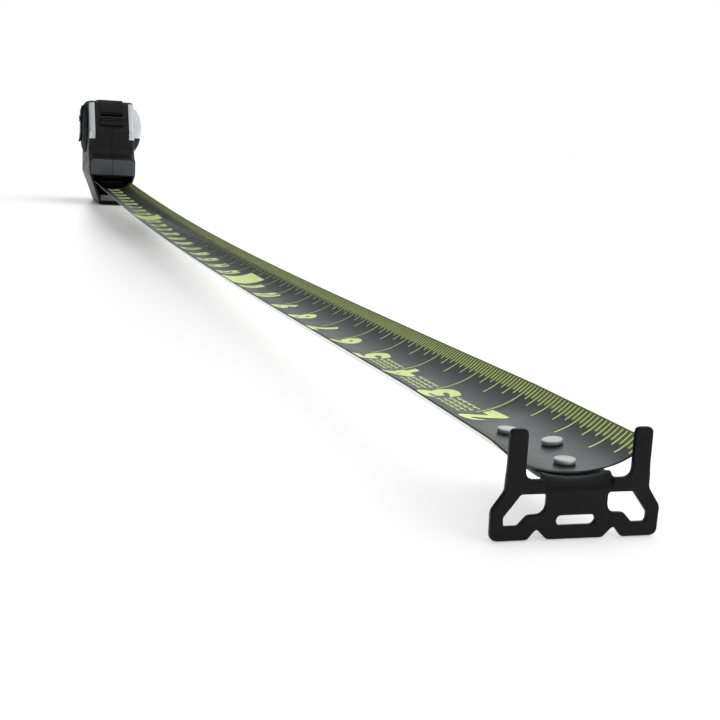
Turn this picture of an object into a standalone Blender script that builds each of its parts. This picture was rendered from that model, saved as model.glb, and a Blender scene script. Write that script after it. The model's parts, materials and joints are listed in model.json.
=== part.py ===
"""Pocket tape measure with a 1-1/4 in wide blade, drawn out about 850 mm.

Metres, +Z up. The blade runs along +X and its graduated edge is on +Y. The origin is in the case's
rubber foot, level with the floor. The case holds a spool with the wound blade, its power spring, and
a sliding thumb lock whose arm presses a pad on the blade. The blade leaves the mouth a little higher
than it ends, so that its hook rests on the floor too. The hook is riveted and floats.
"""

import math

import bmesh
import bpy
from mathutils import Matrix, Vector

MM = 0.001
GAP = 0.3 * MM  # clearance between pieces that touch on the real object

# Blade: a sprung steel strip with a round, concave section.
BLADE_WIDTH = 31.75 * MM  # along the curve of the section
BLADE_RADIUS = 19.6 * MM
BLADE_THICKNESS = 0.3 * MM
BLADE_CORNER = 4.0 * MM
BLADE_OUT = 850.0 * MM  # from the case's nose to the hook's face
BLADE_SAG = 5.4 * MM
TIP_LENGTH = 50.0 * MM  # the stretch that stays straight behind the hook
TIP_LIFT = 0.8 * MM  # the tang flattens the middle of the tip by this
LIFT_HALF = 13.5 * MM
EDGE_ANGLE = BLADE_WIDTH / 2 / BLADE_RADIUS
CROWN = BLADE_RADIUS * (1 - math.cos(EDGE_ANGLE))

# Case outline, seen from the side: corners as (x, z, corner radius), anticlockwise.
NOSE_X = 43.0 * MM
BACK_X = -43.0 * MM
SHELL_BASE = 1.1 * MM
SHELL_TOP = 82.9 * MM
NOSE_TOP = 36.9 * MM
THROAT = (30.0 * MM, 42.0 * MM)
LEDGE = (33.2 * MM, 58.6 * MM)
SLOPE_FOOT = (30.4 * MM, 61.9 * MM)
SHOULDER = (17.5 * MM, SHELL_TOP)
BACK_LOW = (BACK_X, SHELL_BASE, 12.0 * MM)
BACK_HIGH = (BACK_X, SHELL_TOP, 20.0 * MM)
CASE_OUTLINE = (
    BACK_LOW,
    (NOSE_X, SHELL_BASE, 3.0 * MM),
    (NOSE_X, NOSE_TOP, 2.5 * MM),
    (*THROAT, 8.0 * MM),
    (*LEDGE, 1.2 * MM),
    (*SLOPE_FOOT, 1.2 * MM),
    (*SHOULDER, 8.0 * MM),
    BACK_HIGH,
)
HALF_WIDTH = 18.4 * MM
WALL = 2.2 * MM
CAVITY_HALF = 16.75 * MM
PARTING = 0.15 * MM
SHOULDER_STEPS = ((16.0, 0.0), (17.2, 0.45), (18.0, 1.4), (18.4, 3.0))  # (y, inset) in mm
BASE_HALF = 10.2 * MM  # the base is this wide, and flanks slope from it to the full width
FLANK_TOP = 25.0 * MM
FLANK_SLOPE = (FLANK_TOP - SHELL_BASE) / (HALF_WIDTH - BASE_HALF)
BAND_HALF = 9.4 * MM

# Mouth of the nose.
MOUTH_EDGE_Z = 19.0 * MM  # the blade's edges as it leaves the case
MOUTH_LOW = 7.2 * MM
MOUTH_HIGH = 23.5 * MM
MOUTH_CORNER = 2.5 * MM
LIP_HALF = 9.0 * MM
LIP_LOW = 3.4 * MM

# Spool, turning about an axis along Y.
SPOOL_X = -8.0 * MM
SPOOL_Z = 52.1 * MM
POST_RADIUS = 4.6 * MM
DRUM_RADIUS = 16.8 * MM
DRUM_WALL = 1.4 * MM
COIL_RADIUS = 26.4 * MM
FLANGE_RADIUS = 27.2 * MM
FLANGE_IN = 16.05 * MM
FLANGE_OUT = 16.45 * MM
SPRING_THICKNESS = 0.4 * MM
SPRING_TURNS = 6

# Hook. Its heights are from the blade's edges.
HOOK_DROP = 16.3 * MM
HOOK_THICKNESS = 1.1 * MM
HOOK_FLOAT = 1.0 * MM
TANG_THICKNESS = 1.0 * MM
TANG_LENGTH = 36.0 * MM
TANG_HALF = 6.6 * MM
TANG_END_HALF = 5.0 * MM
BEND_RADIUS = 1.9 * MM
BEND_RISE = 0.2 * MM  # the bend stands up by this at its two ends
BLADE_END_GAP = 3.0 * MM  # from the hook's face back to the blade's end
RIVETS = ((7.9, 0.9), (20.3, 4.3), (30.4, -0.4))  # mm back from the hook's face, mm along the section
RIVET_HEAD = 2.0 * MM
RIVET_SHANK = 1.2 * MM
RIVET_HOLE = 1.45 * MM

# Thumb lock, sliding along the face that slopes from SLOPE_FOOT to SHOULDER.
LOCK_TRAVEL = 3.8 * MM
BUTTON_START = 1.6 * MM
BUTTON_LENGTH = 7.8 * MM
BUTTON_HALF = 9.4 * MM
STEM_START = 5.0 * MM
STEM_LENGTH = 3.6 * MM
STEM_HALF = 8.4 * MM
BAND_START = 13.7 * MM  # the rubber band begins this far up the face, clear of the button's travel
ARM_HALF = 8.9 * MM
PAD_X = (28.4 * MM, 33.6 * MM)
PAD_HALF = 10.2 * MM
PAD_GROOVE_HALF = 6.8 * MM  # lets the rivet heads pass
PAD_GROOVE = 2.4 * MM
PAD_TOP = 16.8 * MM

# Fasteners.
CASE_SCREWS = ((-36.5, 27.5), (-34.5, 72.5), (14.8, 73.8), (37.0, 29.5))  # (x, z) in mm
CLIP_SCREW = (-8.0 * MM, 68.0 * MM)
CLIP_BOSS_RADIUS = 3.4 * MM
BOSS_RADIUS = 3.4 * MM
SCREW_HOLE = 1.55 * MM

# Side domes, trim and clip.
DOME_CENTRE = (-8.0 * MM, 60.5 * MM)
DOME_RADII = (26.0 * MM, 20.3 * MM)
DOME_RIM = 1.2 * MM
DOME_LEFT = 21.6 * MM
DOME_RIGHT = 27.4 * MM
BADGE_LOW = 54.0 * MM
TRIM_STEPS = ((13.6, 0.0), (16.0, 0.0), (17.2, 0.45), (18.0, 1.4))  # (y, inset) in mm
TRIM_LOW = 52.7 * MM
TRIM_TOP = 81.0 * MM
TRIM_HEIGHT = 1.0 * MM
CLIP_X = (-16.0 * MM, 0.0 * MM)
CLIP_THICKNESS = 0.8 * MM
CLIP_BEND = ((-20.6, 79.0), (-21.9, 74.5), (-21.9, 56.0), (-22.4, 51.0), (-23.1, 49.0))  # (y, z) in mm

# Worked out from the above.
HOOK_X = NOSE_X + BLADE_OUT
EDGE_Z = HOOK_DROP
VALLEY_Z = EDGE_Z - CROWN
MOUTH_VALLEY_Z = MOUTH_EDGE_Z - CROWN
COIL_LOW = SPOOL_Z - COIL_RADIUS
TIP_X = HOOK_X - TIP_LENGTH
TANG_DEPTH = BLADE_THICKNESS + GAP
CREST_Z = VALLEY_Z + TIP_LIFT - TANG_DEPTH  # top of the hook's bend, on the centre line

UP_Y = Matrix(((1, 0, 0, 0), (0, 0, 1, 0), (0, 1, 0, 0), (0, 0, 0, 1)))  # (x, z, y) to the world
UP_X = Matrix(((0, 0, 1, 0), (1, 0, 0, 0), (0, 1, 0, 0), (0, 0, 0, 1)))  # (y, z, x) to the world

MATERIALS = {
    "black_shell": ((0.020, 0.021, 0.022), 0.42, 0.0),
    "rubber": ((0.012, 0.012, 0.013), 0.75, 0.0),
    "silver_trim": ((0.62, 0.64, 0.66), 0.28, 1.0),
    "lock_plastic": ((0.030, 0.031, 0.033), 0.5, 0.0),
    "acetal": ((0.70, 0.70, 0.66), 0.5, 0.0),
    "steel": ((0.55, 0.56, 0.57), 0.35, 1.0),
    "spring_steel": ((0.30, 0.31, 0.33), 0.4, 1.0),
    "black_steel": ((0.010, 0.010, 0.011), 0.35, 0.6),
    "blade_coating": ((0.035, 0.040, 0.042), 0.45, 0.0),
}


# Outlines ---------------------------------------------------------------------------------------


def direction(a, b):
    return (Vector(b[:2]) - Vector(a[:2])).normalized()


def left_of(d):
    return Vector((-d.y, d.x))


def inset_corner(before, corner, after, inset):
    """The corner moved to the left of both of its edges by inset; an end has only one edge."""
    if before is None:
        return Vector(corner[:2]) + left_of(direction(corner, after)) * inset
    if after is None:
        return Vector(corner[:2]) + left_of(direction(before, corner)) * inset
    n1 = left_of(direction(before, corner))
    n2 = left_of(direction(corner, after))
    return Vector(corner[:2]) + (n1 + n2) * (inset / (1 + n1.dot(n2)))


def fillet(before, corner, after, radius, steps):
    """Points of the arc that rounds a corner between two straight edges."""
    d1 = direction(before, corner)
    d2 = direction(corner, after)
    turn = math.atan2(d1.x * d2.y - d1.y * d2.x, d1.dot(d2))
    back = radius * math.tan(abs(turn) / 2)
    side = math.copysign(1.0, turn)
    centre = corner - d1 * back + left_of(d1) * (radius * side)
    arm = corner - d1 * back - centre
    points = []
    for k in range(steps + 1):
        points.append(centre + Matrix.Rotation(turn * k / steps, 2) @ arm)
    return points


def rounded(corners, inset=0.0, closed=True, steps=5):
    """The outline through the corners, moved inwards by inset, with each corner rounded."""
    count = len(corners)
    moved = []
    for i, corner in enumerate(corners):
        before = corners[i - 1] if closed or i > 0 else None
        after = corners[(i + 1) % count] if closed or i < count - 1 else None
        moved.append(inset_corner(before, corner, after, inset))
    points = []
    for i, corner in enumerate(corners):
        if not closed and i in (0, count - 1):
            points.append(moved[i])
            continue
        before, after = moved[i - 1], moved[(i + 1) % count]
        d1 = direction(corners[i - 1], corner)
        d2 = direction(corner, corners[(i + 1) % count])
        convex = d1.x * d2.y - d1.y * d2.x > 0
        radius = max(corner[2] - inset, 0.1 * MM) if convex else corner[2] + inset
        points += fillet(before, moved[i], after, radius, steps)
    return points


def ribbon(corners, low, high):
    """A closed band along an open path, from low to high outside it."""
    return rounded(corners, -high, closed=False) + rounded(corners, -low, closed=False)[::-1]


def circle(radius, steps=24, centre=(0.0, 0.0)):
    points = []
    for k in range(steps):
        a = 2 * math.pi * k / steps
        points.append((centre[0] + radius * math.cos(a), centre[1] + radius * math.sin(a)))
    return points


def stadium(radius, length, steps=8):
    """A slot outline from x = 0 to x = length between its end centres."""
    points = []
    for k in range(steps + 1):
        a = -math.pi / 2 + math.pi * k / steps
        points.append((length + radius * math.cos(a), radius * math.sin(a)))
    for k in range(steps + 1):
        a = math.pi / 2 + math.pi * k / steps
        points.append((radius * math.cos(a), radius * math.sin(a)))
    return points


def box_outline(x0, x1, z0, z1):
    return [(x0, z0), (x1, z0), (x1, z1), (x0, z1)]


# Solids -----------------------------------------------------------------------------------------


def finish_mesh(bm, name):
    bmesh.ops.recalc_face_normals(bm, faces=bm.faces)
    mesh = bpy.data.meshes.new(name)
    bm.to_mesh(mesh)
    bm.free()
    obj = bpy.data.objects.new(name, mesh)
    bpy.context.scene.collection.objects.link(obj)
    mesh.shade_smooth()
    mesh.set_sharp_from_angle(angle=math.radians(32))
    return obj


def loft(name, rings, loop=False):
    """Joins rings of the same number of points; loop joins the last to the first, or both get a cap."""
    bm = bmesh.new()
    rows = [[bm.verts.new(p) for p in ring] for ring in rings]
    count = len(rows[0])
    pairs = list(zip(rows, rows[1:] + rows[:1])) if loop else list(zip(rows, rows[1:]))
    for a, b in pairs:
        for i in range(count):
            j = (i + 1) % count
            bm.faces.new((a[i], a[j], b[j], b[i]))
    if not loop:
        bm.faces.new(rows[0])
        bm.faces.new(rows[-1])
    return finish_mesh(bm, name)


def prism(name, outline, low, high, frame):
    rings = []
    for level in (low, high):
        rings.append([frame @ Vector((p[0], p[1], level)) for p in outline])
    return loft(name, rings)


def turned(name, levels, frame, steps=20):
    """A round solid with capped ends, from (radius, height) levels."""
    rings = []
    for radius, height in levels:
        rings.append([frame @ Vector((x, y, height)) for x, y in circle(radius, steps)])
    return loft(name, rings)


def wheel(name, section, steps=40):
    """A closed (radius, y) section turned about the spool's axis."""
    rings = []
    for k in range(steps):
        a = 2 * math.pi * k / steps
        ring = []
        for radius, y in section:
            ring.append((SPOOL_X + radius * math.cos(a), y, SPOOL_Z + radius * math.sin(a)))
        rings.append(ring)
    return loft(name, rings, loop=True)


def sheet(name, top, bottom):
    """A thin closed solid between two grids of points."""
    bm = bmesh.new()
    high = [[bm.verts.new(p) for p in row] for row in top]
    low = [[bm.verts.new(p) for p in row] for row in bottom]
    rows, columns = len(high), len(high[0])
    for i in range(rows - 1):
        for j in range(columns - 1):
            for grid in (high, low):
                bm.faces.new((grid[i][j], grid[i][j + 1], grid[i + 1][j + 1], grid[i + 1][j]))
    rim = [(0, j) for j in range(columns)]
    rim += [(i, columns - 1) for i in range(1, rows)]
    rim += [(rows - 1, j) for j in range(columns - 2, -1, -1)]
    rim += [(i, 0) for i in range(rows - 2, 0, -1)]
    for (i, j), (k, m) in zip(rim, rim[1:] + rim[:1]):
        bm.faces.new((high[i][j], high[k][m], low[k][m], low[i][j]))
    return finish_mesh(bm, name)


def boolean(target, tool, operation):
    modifier = target.modifiers.new(tool.name, "BOOLEAN")
    modifier.operation = operation
    modifier.object = tool
    tool.hide_render = True
    tool.display_type = "WIRE"


def cut(target, tool):
    boolean(target, tool, "DIFFERENCE")


def add(target, tool):
    boolean(target, tool, "UNION")


def at(x, z, y=0.0):
    """A frame whose own Z runs along the world's Y, at a place on the side view."""
    return Matrix.Translation((x, y, z)) @ UP_Y


# Blade section ----------------------------------------------------------------------------------


def section_point(s, depth, roundness=1.0, lift=0.0):
    """(y, z above the valley) of a point s along the section and depth below its upper face."""
    if roundness < 0.01:
        return s, -depth
    radius = BLADE_RADIUS / roundness
    a = s / radius
    flattened = lift * max(0.0, 1 - (s / LIFT_HALF) ** 2) ** 2
    return (radius + depth) * math.sin(a), radius - (radius + depth) * math.cos(a) + flattened


def tip_slope(s):
    """Angle of the tip's section at s, with its middle flattened."""
    inside = max(0.0, 1 - (s / LIFT_HALF) ** 2)
    return s / BLADE_RADIUS - 4 * TIP_LIFT * inside * s / LIFT_HALF**2


def section_frame(back, s):
    """A frame on the tip's upper face, back from the hook's face, with its own Z along the normal."""
    y, z = section_point(s, 0.0, 1.0, TIP_LIFT)
    place = Matrix.Translation((HOOK_X - back, y, VALLEY_Z + z))
    return place @ Matrix.Rotation(tip_slope(s), 4, "X")


def smooth(t):
    t = min(1.0, max(0.0, t))
    return t * t * (3 - 2 * t)


def spread(low, high, count):
    return [low + (high - low) * k / (count - 1) for k in range(count)]


# Case -------------------------------------------------------------------------------------------


def flank(y):
    """Height of the sloping flank at y."""
    return SHELL_BASE + max(0.0, abs(y) - BASE_HALF) * FLANK_SLOPE


def shell_ring(y, side, inset, lowest):
    return [(p.x, side * y, max(p.y, lowest)) for p in rounded(CASE_OUTLINE, inset)]


def mouth_half(z):
    """Half the width that the flanks leave for the mouth at a height."""
    return CAVITY_HALF - max(0.0, FLANK_TOP - z) / FLANK_SLOPE - 0.1 * MM


def case_shell(name, side):
    """Half of the case: a cup with its rim at the parting plane, open at the mouth and the thumb slot."""
    floor = SHELL_BASE + WALL
    side_wall = HALF_WIDTH - CAVITY_HALF
    floor_half = BASE_HALF + WALL / FLANK_SLOPE - side_wall
    rings = []
    for y in (CAVITY_HALF, floor_half, PARTING):
        rings.append(shell_ring(y, side, WALL, max(floor, flank(y + side_wall))))
    for y in (PARTING, BASE_HALF):
        rings.append(shell_ring(y, side, 0.0, SHELL_BASE))
    for y, inset in SHOULDER_STEPS:
        rings.append(shell_ring(y * MM, side, inset * MM, flank(y * MM)))
    shell = loft(name, rings)
    for k, (x, z) in enumerate(CASE_SCREWS):
        screw_boss(shell, name, side, k, x * MM, z * MM)
    half_low, half_high = mouth_half(MOUTH_LOW), mouth_half(MOUTH_HIGH)
    mouth = rounded(
        (
            (-half_low, MOUTH_LOW, MOUTH_CORNER),
            (half_low, MOUTH_LOW, MOUTH_CORNER),
            (half_high, MOUTH_HIGH, 0.6 * MM),
            (-half_high, MOUTH_HIGH, 0.6 * MM),
        )
    )
    cut(shell, prism(f"{name}_mouth", mouth, 36.0 * MM, 50.0 * MM, UP_X))
    lip = box_outline(NOSE_X - 1.15 * MM, 50.0 * MM, LIP_LOW - GAP, MOUTH_LOW + 1.0 * MM)
    cut(shell, prism(f"{name}_lip", lip, -LIP_HALF - GAP, LIP_HALF + GAP, UP_Y))
    low, high = STEM_START - GAP, STEM_START + STEM_LENGTH + LOCK_TRAVEL + GAP
    slot = [on_slope(u, n) for u, n in ((low, -5 * MM), (high, -5 * MM), (high, 3 * MM), (low, 3 * MM))]
    slot_half = STEM_HALF + GAP
    cut(shell, prism(f"{name}_slot", slot, -slot_half, slot_half, UP_Y))
    if side < 0:
        x, z = CLIP_SCREW
        boss = ((CLIP_BOSS_RADIUS, -21.5 * MM), (CLIP_BOSS_RADIUS, -17.0 * MM))
        add(shell, turned(f"{name}_clip_boss", boss, at(x, z), 18))
        hole = ((SCREW_HOLE, -25 * MM), (SCREW_HOLE, -15 * MM))
        cut(shell, turned(f"{name}_clip_hole", hole, at(x, z), 16))
    return shell


def screw_boss(shell, name, side, k, x, z):
    """A boss across half of the case. The left one is drilled through, the right one is blind."""
    start, end = sorted((side * PARTING, side * 17.2 * MM))
    add(shell, turned(f"{name}_boss_{k}", ((BOSS_RADIUS, start), (BOSS_RADIUS, end)), at(x, z), 16))
    if side > 0:
        levels = ((SCREW_HOLE, -1.0 * MM), (SCREW_HOLE, 13.0 * MM))
    else:
        levels = (
            (2.7 * MM, -22.0 * MM),
            (2.7 * MM, -16.2 * MM),
            (SCREW_HOLE, -16.2 * MM),
            (SCREW_HOLE, 1.0 * MM),
        )
    cut(shell, turned(f"{name}_screw_hole_{k}", levels, at(x, z), 16))


def case_screw(k, x, z):
    levels = (
        (1.25 * MM, 12.0 * MM),
        (1.25 * MM, -16.5 * MM),
        (2.3 * MM, -16.5 * MM),
        (2.3 * MM, -17.6 * MM),
        (1.9 * MM, -18.0 * MM),
    )
    return turned(f"case_screw_{k + 1}", levels, at(x, z), 14)


def dome(name, side, height, plateau):
    """A side pad with a thin rim and a rounded top. Plateau is the share of its size that is flat."""
    base = HALF_WIDTH + GAP
    shoulder = base + DOME_RIM
    profile = [(1.0, base), (1.0, shoulder - 0.4 * MM), (0.975, shoulder)]
    for angle in (0, 22, 45, 67, 85):
        a = math.radians(angle)
        profile.append((plateau + (0.9 - plateau) * math.cos(a), shoulder + (height - shoulder) * math.sin(a)))
    rings = []
    for share, y in profile:
        ring = []
        for cx, cz in circle(1.0, 32):
            x = DOME_CENTRE[0] + DOME_RADII[0] * share * cx
            ring.append((x, side * y, DOME_CENTRE[1] + DOME_RADII[1] * share * cz))
        rings.append(ring)
    return loft(name, rings)


def side_pads():
    """The left pad, which the clip lies on, and on the right a pad below a silver badge."""
    left = dome("side_grip_left", -1, DOME_LEFT, 0.62)
    boss_space = CLIP_BOSS_RADIUS + GAP
    cut(left, turned("side_grip_left_hole", ((boss_space, -30 * MM), (boss_space, -18 * MM)), at(*CLIP_SCREW)))
    low = dome("side_grip_right", 1, DOME_RIGHT, 0.0)
    high = dome("side_badge_right", 1, DOME_RIGHT, 0.0)
    above = box_outline(-60 * MM, 60 * MM, BADGE_LOW - GAP / 2, 100 * MM)
    below = box_outline(-60 * MM, 60 * MM, 0.0, BADGE_LOW + GAP / 2)
    cut(low, prism("badge_space", above, 10 * MM, 40 * MM, UP_Y))
    cut(high, prism("grip_space", below, 10 * MM, 40 * MM, UP_Y))
    return left, low, high


def trim_strip(name, side):
    """A silver bar on the shoulder edge, over the ledge and up the sloping face."""
    share = (TRIM_LOW - THROAT[1]) / (LEDGE[1] - THROAT[1])
    foot = (THROAT[0] + (LEDGE[0] - THROAT[0]) * share, TRIM_LOW, 0)
    up = direction(SLOPE_FOOT, SHOULDER)
    top = Vector(SLOPE_FOOT) + up * ((TRIM_TOP - SLOPE_FOOT[1]) / up.y)
    path = (foot, (*LEDGE, 1.2 * MM), (*SLOPE_FOOT, 1.2 * MM), (*top, 0))
    rings = []
    for y, inset in TRIM_STEPS:
        band = ribbon(path, GAP - inset * MM, TRIM_HEIGHT - inset * MM)
        rings.append([(p.x, side * y * MM, p.y) for p in band])
    return loft(name, rings)


def rubber_band():
    """The rubber that wraps the top and back, and is the foot that the case stands on."""
    start = (*on_slope(BAND_START, 0.0), 0)
    path = (start, (*SHOULDER, 8.0 * MM), BACK_HIGH, BACK_LOW, (30.0 * MM, SHELL_BASE, 0))
    return prism("rubber_band", ribbon(path, GAP, SHELL_BASE), -BAND_HALF, BAND_HALF, UP_Y)


def mouth_wear_strip():
    """The steel strip folded over the mouth's lower lip, let into the front of the nose."""
    front, back = NOSE_X - 0.05 * MM, NOSE_X - 0.85 * MM
    low, high = MOUTH_LOW + GAP, MOUTH_LOW + 0.8 * MM
    inside = NOSE_X - WALL - 1.5 * MM
    outline = [(inside, low), (back, low), (back, LIP_LOW), (front, LIP_LOW)]
    outline += [(front, high - 0.4 * MM), (front - 0.4 * MM, high), (inside, high)]
    return prism("mouth_wear_strip", outline, -LIP_HALF, LIP_HALF, UP_Y)


def belt_clip():
    """A spring strip screwed down at its upper part, lying over the left pad, with a flared end."""
    inner = [(y * MM, z * MM) for y, z in CLIP_BEND]
    outline = inner + [(y - CLIP_THICKNESS, z) for y, z in inner[::-1]]
    clip = prism("belt_clip", outline, *CLIP_X, UP_X)
    hole = turned("belt_clip_hole", ((1.7 * MM, -30 * MM), (1.7 * MM, -20 * MM)), at(*CLIP_SCREW), 16)
    cut(clip, hole)
    return clip


def clip_screw():
    levels = (
        (1.25 * MM, -16.9 * MM),
        (1.25 * MM, -23.0 * MM),
        (2.8 * MM, -23.0 * MM),
        (2.6 * MM, -23.5 * MM),
        (1.8 * MM, -23.8 * MM),
    )
    return turned("clip_screw", levels, at(*CLIP_SCREW), 18)


# Spool ------------------------------------------------------------------------------------------


def flange(name, side):
    low, high = sorted((side * FLANGE_IN, side * FLANGE_OUT))
    inner = POST_RADIUS + 0.4 * MM
    return wheel(name, [(inner, low), (FLANGE_RADIUS, low), (FLANGE_RADIUS, high), (inner, high)])


def spool_drum():
    """A cup whose wall carries the blade and whose web turns on the post."""
    end, web = 15.6 * MM, 14.4 * MM
    inner = DRUM_RADIUS - DRUM_WALL
    bore = POST_RADIUS + 0.4 * MM
    section = [(DRUM_RADIUS, -end), (DRUM_RADIUS, end), (bore, end), (bore, web), (inner, web), (inner, -end)]
    return wheel("spool_drum", section)


def blade_coil():
    half = BLADE_WIDTH / 2
    inner = DRUM_RADIUS + GAP
    return wheel("blade_coil", [(inner, -half), (COIL_RADIUS, -half), (COIL_RADIUS, half), (inner, half)], 48)


def centre_post():
    """The fixed post, slotted for the spring's inner end."""
    post = turned("centre_post", ((POST_RADIUS, -16.6 * MM), (POST_RADIUS, 16.6 * MM)), at(SPOOL_X, SPOOL_Z), 24)
    slot = box_outline(SPOOL_X - 0.6 * MM, SPOOL_X + 0.6 * MM, SPOOL_Z, SPOOL_Z + 6 * MM)
    cut(post, prism("centre_post_slot", slot, -13 * MM, 13 * MM, UP_Y))
    return post


def power_spring():
    """A spiral strip between the post and the drum's wall."""
    steps = 16
    low = POST_RADIUS + 0.7 * MM
    high = DRUM_RADIUS - DRUM_WALL - 0.7 * MM
    half = 13.0 * MM
    rings = []
    for k in range(SPRING_TURNS * steps + 1):
        a = 2 * math.pi * k / steps
        r = low + (high - low) * k / (SPRING_TURNS * steps)
        ring = []
        for radius, y in ((r, -half), (r + SPRING_THICKNESS, -half), (r + SPRING_THICKNESS, half), (r, half)):
            ring.append((SPOOL_X + radius * math.cos(a), y, SPOOL_Z + radius * math.sin(a)))
        rings.append(ring)
    return loft("power_spring", rings)


# Blade and hook ---------------------------------------------------------------------------------


def blade_rows(stations, columns=13):
    """Upper and lower grids of the blade, from (x, valley height, roundness) stations."""
    grids = []
    for depth in (0.0, BLADE_THICKNESS):
        grid = []
        for x, valley, roundness in stations:
            row = []
            for s in spread(-BLADE_WIDTH / 2, BLADE_WIDTH / 2, columns):
                y, z = section_point(s, depth, roundness)
                row.append((x, y, valley + z))
            grid.append(row)
        grids.append(grid)
    return grids


def blade_extended():
    """From the coil, flat, curling into its round section before the mouth, then sagging to the tip."""
    stations = []
    round_x = 25.0 * MM
    start_z = COIL_LOW - GAP - 0.1 * MM
    for x in spread(SPOOL_X, round_x, 10):
        t = smooth((x - SPOOL_X) / (round_x - SPOOL_X))
        stations.append((x, start_z + (MOUTH_VALLEY_Z - start_z) * t, t))
    end = TIP_X - 0.2 * MM
    for x in spread(NOSE_X, end, 25):
        t = (x - NOSE_X) / (end - NOSE_X)
        chord = MOUTH_VALLEY_Z + (VALLEY_Z - MOUTH_VALLEY_Z) * t
        stations.append((x, chord - BLADE_SAG * math.sin(math.pi * t), 1.0))
    return sheet("blade_extended", *blade_rows(stations))


def blade_tip():
    """The straight end of the blade, with rounded corners and holes for the rivets."""
    half = BLADE_WIDTH / 2
    grids = []
    for depth in (0.0, BLADE_THICKNESS):
        grid = []
        for share in (0.0, 0.1, 0.2, 0.3, 0.8, 1.0):
            row = []
            for s in spread(-half, half, 25):
                out = max(0.0, abs(s) - (half - BLADE_CORNER))
                end = HOOK_X - BLADE_END_GAP - BLADE_CORNER + math.sqrt(BLADE_CORNER**2 - out**2)
                y, z = section_point(s, depth, 1.0, TIP_LIFT * smooth(share / 0.3))
                row.append((TIP_X + (end - TIP_X) * share, y, VALLEY_Z + z))
            grid.append(row)
        grids.append(grid)
    tip = sheet("blade_tip", *grids)
    for k, (back, s) in enumerate(RIVETS):
        levels = ((RIVET_HOLE, -3 * MM), (RIVET_HOLE, 3 * MM))
        cut(tip, turned(f"blade_tip_hole_{k}", levels, section_frame(back * MM, s * MM), 12))
    return tip


def hook_rivet(k, back, s):
    """Head on the blade, shank through blade and tang, and an upset end below the tang."""
    under = -(BLADE_THICKNESS + GAP + TANG_THICKNESS + 0.25 * MM)
    levels = (
        (1.6 * MM, under - 0.45 * MM),
        (RIVET_HEAD, under - 0.15 * MM),
        (RIVET_HEAD, under),
        (RIVET_SHANK, under),
        (RIVET_SHANK, 0.2 * MM),
        (RIVET_HEAD, 0.2 * MM),
        (RIVET_HEAD, 0.75 * MM),
        (1.6 * MM, 1.0 * MM),
    )
    return turned(f"hook_rivet_{k + 1}", levels, section_frame(back * MM, s * MM), 16)


def hook_outline():
    """The hook's plate seen from the front, as (y, z) corners in mm, anticlockwise from its base."""
    notch_low, tang_low = -5.8, -7.85
    half = [(5.2, -16.3, 0.4), (7.2, -14.35, 0.5), (8.8, -16.3, 0.4)]
    half += [(15.6, -16.3, 1.2), (15.7, -11.0, 1.6), (13.4, -7.7, 1.6)]
    half += [(13.2, -3.0, 0.5), (13.2, 3.0, 0.9), (9.9, 3.0, 0.9)]
    half += [(9.9, notch_low, 1.5), (6.5, notch_low, 0.2), (6.5, tang_low, 0.1)]
    mirrored = [(-y, z, r) for y, z, r in half[::-1]]
    return rounded([(y * MM, EDGE_Z + z * MM, r * MM) for y, z, r in half + mirrored], steps=3)


def hook_opening(side):
    corners = (
        (10.4, -8.3, 0.5),
        (5.7, -8.3, 0.5),
        (5.7, -11.9, 1.6),
        (8.9, -12.0, 0.5),
        (10.6, -13.8, 0.5),
        (13.3, -13.8, 0.5),
        (13.4, -12.2, 0.5),
    )
    placed = [(side * y * MM, EDGE_Z + z * MM, r * MM) for y, z, r in corners]
    return rounded(placed if side > 0 else placed[::-1], steps=3)


def hook_tang():
    """From inside the plate, round the bend and back under the blade, whose section it follows."""
    front = HOOK_X - (HOOK_THICKNESS - TANG_THICKNESS) / 2
    centre_x, centre_z = front - BEND_RADIUS, CREST_Z - BEND_RADIUS
    tang_run = centre_x - (HOOK_X - TANG_LENGTH)
    # Each station: place on the bend's centre line, angle round the bend, half width, rise of its ends.
    stations = [(centre_x, centre_z - 1.0 * MM, 0.0, TANG_HALF, 0.0)]
    for degrees in (0, 22.5, 45, 67.5, 90):
        angle = math.radians(degrees)
        stations.append((centre_x, centre_z, angle, TANG_HALF, BEND_RISE * math.sin(angle) ** 2))
    for share in (0.033, 0.3, 0.6, 0.85, 0.93, 0.98, 1.0):
        rounding = math.sqrt(1 - max(0.0, (share - 0.85) / 0.15 * 0.97) ** 2)
        half = (TANG_HALF + (TANG_END_HALF - TANG_HALF) * share) * rounding
        stations.append((centre_x - tang_run * share, centre_z, math.pi / 2, half, 0.0))
    grids = []
    for depth in (0.0, TANG_THICKNESS):
        radius = BEND_RADIUS - depth
        grid = []
        for x, z, angle, half, end_rise in stations:
            row = []
            for y in spread(-half, half, 9):
                s = BLADE_RADIUS * math.asin(y / (BLADE_RADIUS + TANG_DEPTH))
                rise = section_point(s, TANG_DEPTH, 1.0, TIP_LIFT)[1] - (TIP_LIFT - TANG_DEPTH)
                rise = rise * math.sin(angle) ** 2 + end_rise * (y / TANG_HALF) ** 2
                row.append((x + radius * math.cos(angle), y, z + radius * math.sin(angle) + rise))
            grid.append(row)
        grids.append(grid)
    return sheet("end_hook_tang", *grids)


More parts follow.
